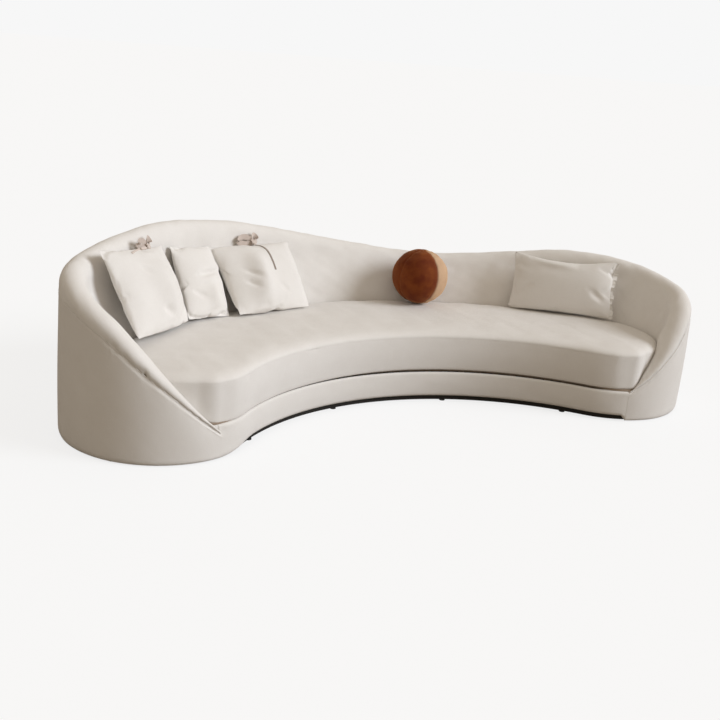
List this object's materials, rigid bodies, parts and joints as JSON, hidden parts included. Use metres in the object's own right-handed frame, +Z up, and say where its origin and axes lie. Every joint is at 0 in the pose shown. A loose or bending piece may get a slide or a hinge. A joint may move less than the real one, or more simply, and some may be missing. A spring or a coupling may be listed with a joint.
{
  "type": "curved sofa",
  "caption": "Crescent-shaped upholstered sofa: a padded back whose rounded rim slopes down into the arms, a long crowned seat cushion, loose scatter cushions and a ball cushion.",
  "frame": {"origin": "on the floor under the middle of the plan's bounding rectangle", "axes": "+X to a sitter's left along the long side (the right of someone who looks at the front), +Y to the back, +Z up; the open bay faces -Y"},
  "size_m": [3.4969, 1.4708, 0.874],
  "materials": {
    "cream_cloth": "fine flat weave, ivory",
    "rust_velvet": "short pile, rust brown",
    "foam": "cut upholstery foam",
    "fibre_filling": "loose fibre filling in a lining",
    "dark_cloth": "matt black lining cloth",
    "webbing": "elastic strap",
    "black_wood": "matt black stain",
    "plywood": "raw birch plywood",
    "nylon": "moulded",
    "zinc_steel": "zinc plated"
  },
  "bodies": {
    "sofa": {"arm_former_left": "plywood", "arm_former_right": "plywood", "arm_pad_left": "cream_cloth", "arm_pad_right": "cream_cloth", "back_pad_1": "cream_cloth", "back_pad_2": "cream_cloth", "back_pad_3": "cream_cloth", "back_pad_4": "cream_cloth", "back_pad_5": "cream_cloth", "back_pad_6": "cream_cloth", "back_post_1": "plywood", "back_post_2": "plywood", "back_post_3": "plywood", "back_post_4": "plywood", "back_post_5": "plywood", "back_post_6": "plywood", "back_post_7": "plywood", "base_board_left": "plywood", "base_board_middle": "plywood", "base_board_right": "plywood", "corner_blocks": "plywood", "deck_pad": "dark_cloth", "dust_cloth": "dark_cloth", "frame_screws": "zinc_steel", "front_band": "cream_cloth", "front_rail": "black_wood", "glides": "nylon", "inner_panel": "plywood", "outer_cover_back_left": "cream_cloth", "outer_cover_back_right": "cream_cloth", "outer_cover_left_end": "cream_cloth", "outer_cover_right_end": "cream_cloth", "plinth_back": "black_wood", "plinth_front": "black_wood", "rib_1": "plywood", "rib_2": "plywood", "rib_3": "plywood", "rib_4": "plywood", "rib_5": "plywood", "rib_6": "plywood", "seat_rail": "plywood", "seat_webbing": "webbing", "splice_plates": "zinc_steel", "top_rail": "plywood", "welt": "cream_cloth"},
    "seat": {"seat_cover": "cream_cloth", "seat_foam": "foam", "seat_zip": "nylon"},
    "left_cushion": {"left_cushion_cover": "cream_cloth", "left_cushion_filling": "fibre_filling"},
    "middle_cushion": {"middle_cushion_cover": "cream_cloth", "middle_cushion_filling": "fibre_filling"},
    "tied_cushion": {"tied_cushion_cover": "cream_cloth", "tied_cushion_filling": "fibre_filling"},
    "lumbar_cushion": {"lumbar_cushion_cover": "cream_cloth", "lumbar_cushion_filling": "fibre_filling"},
    "ball_cushion": {"ball_cushion": "rust_velvet"}
  },
  "joints": [
    {"name": "seat_lift", "type": "slide", "parent": "sofa", "child": "seat", "axis": [0, 0, 1], "range_m": [0, 0.3]},
    {"name": "left_cushion_lift", "type": "slide", "parent": "seat", "child": "left_cushion", "axis": [0, 0, 1], "range_m": [0, 0.3]},
    {"name": "middle_cushion_lift", "type": "slide", "parent": "seat", "child": "middle_cushion", "axis": [0, 0, 1], "range_m": [0, 0.3]},
    {"name": "tied_cushion_lift", "type": "slide", "parent": "seat", "child": "tied_cushion", "axis": [0, 0, 1], "range_m": [0, 0.3]},
    {"name": "lumbar_cushion_lift", "type": "slide", "parent": "seat", "child": "lumbar_cushion", "axis": [0, 0, 1], "range_m": [0, 0.3]},
    {"name": "ball_cushion_lift", "type": "slide", "parent": "seat", "child": "ball_cushion", "axis": [0, 0, 1], "range_m": [0, 0.3]}
  ]
}
